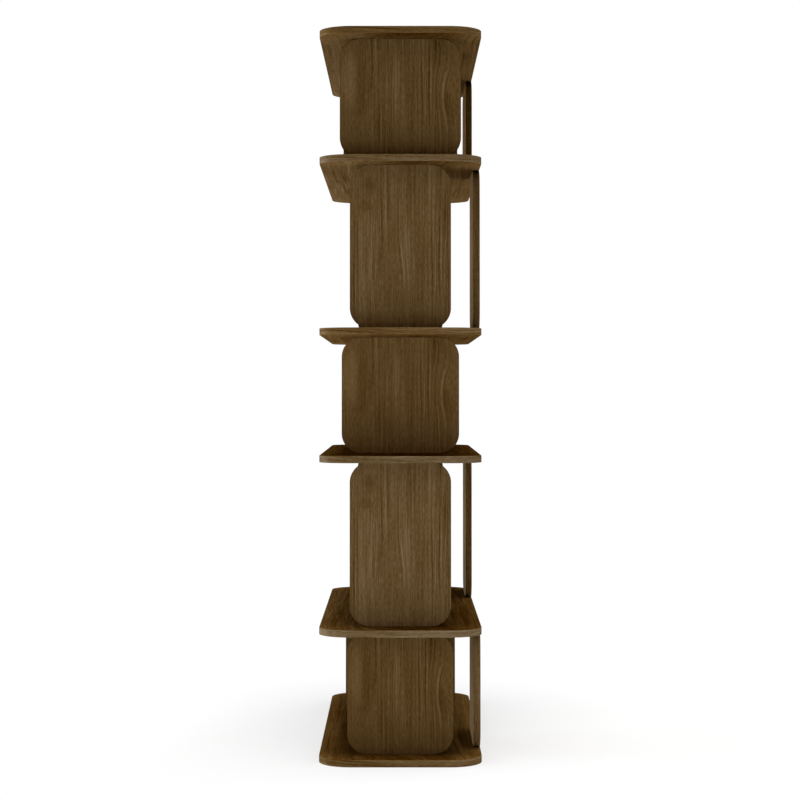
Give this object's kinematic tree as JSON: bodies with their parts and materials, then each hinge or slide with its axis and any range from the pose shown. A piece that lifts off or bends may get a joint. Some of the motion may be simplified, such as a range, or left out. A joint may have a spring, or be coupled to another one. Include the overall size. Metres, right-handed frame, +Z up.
{
  "type": "bookcase",
  "caption": "Tall open walnut bookcase: long round-cornered shelves held apart by narrow rounded panels, set crosswise in mid depth or along the rear edge.",
  "frame": {"origin": "on the floor, under the middle of the base shelf", "axes": "+X towards the right-hand end of the shelves, +Y from front to back, +Z up"},
  "size_m": [1.1, 0.4, 1.8],
  "materials": {
    "walnut_shelf": "satin walnut veneer, grain along the shelf",
    "walnut_panel": "satin walnut veneer, grain upright",
    "walnut_lipping": "satin solid walnut, arrises eased",
    "birch_tongue": "raw plywood, glued"
  },
  "bodies": {
    "root": {"base_shelf": "walnut_shelf", "base_shelf_lipping": "walnut_lipping", "bottom_bay_back_panel": "walnut_panel", "bottom_bay_left_panel": "walnut_panel", "bottom_bay_middle_panel": "walnut_panel", "bottom_bay_right_panel": "walnut_panel", "bottom_bay_tongues": "birch_tongue", "fifth_shelf": "walnut_shelf", "fifth_shelf_lipping": "walnut_lipping", "fourth_shelf": "walnut_shelf", "fourth_shelf_lipping": "walnut_lipping", "lower_bay_back_panel": "walnut_panel", "lower_bay_left_panel": "walnut_panel", "lower_bay_right_panel": "walnut_panel", "lower_bay_tongues": "birch_tongue", "middle_bay_left_panel": "walnut_panel", "middle_bay_right_panel": "walnut_panel", "middle_bay_tongues": "birch_tongue", "second_shelf": "walnut_shelf", "second_shelf_lipping": "walnut_lipping", "third_shelf": "walnut_shelf", "third_shelf_lipping": "walnut_lipping", "top_bay_back_panel": "walnut_panel", "top_bay_middle_panel": "walnut_panel", "top_bay_right_panel": "walnut_panel", "top_bay_tongues": "birch_tongue", "top_shelf": "walnut_shelf", "top_shelf_lipping": "walnut_lipping", "upper_bay_back_panel": "walnut_panel", "upper_bay_left_panel": "walnut_panel", "upper_bay_right_panel": "walnut_panel", "upper_bay_tongues": "birch_tongue"}
  },
  "joints": []
}
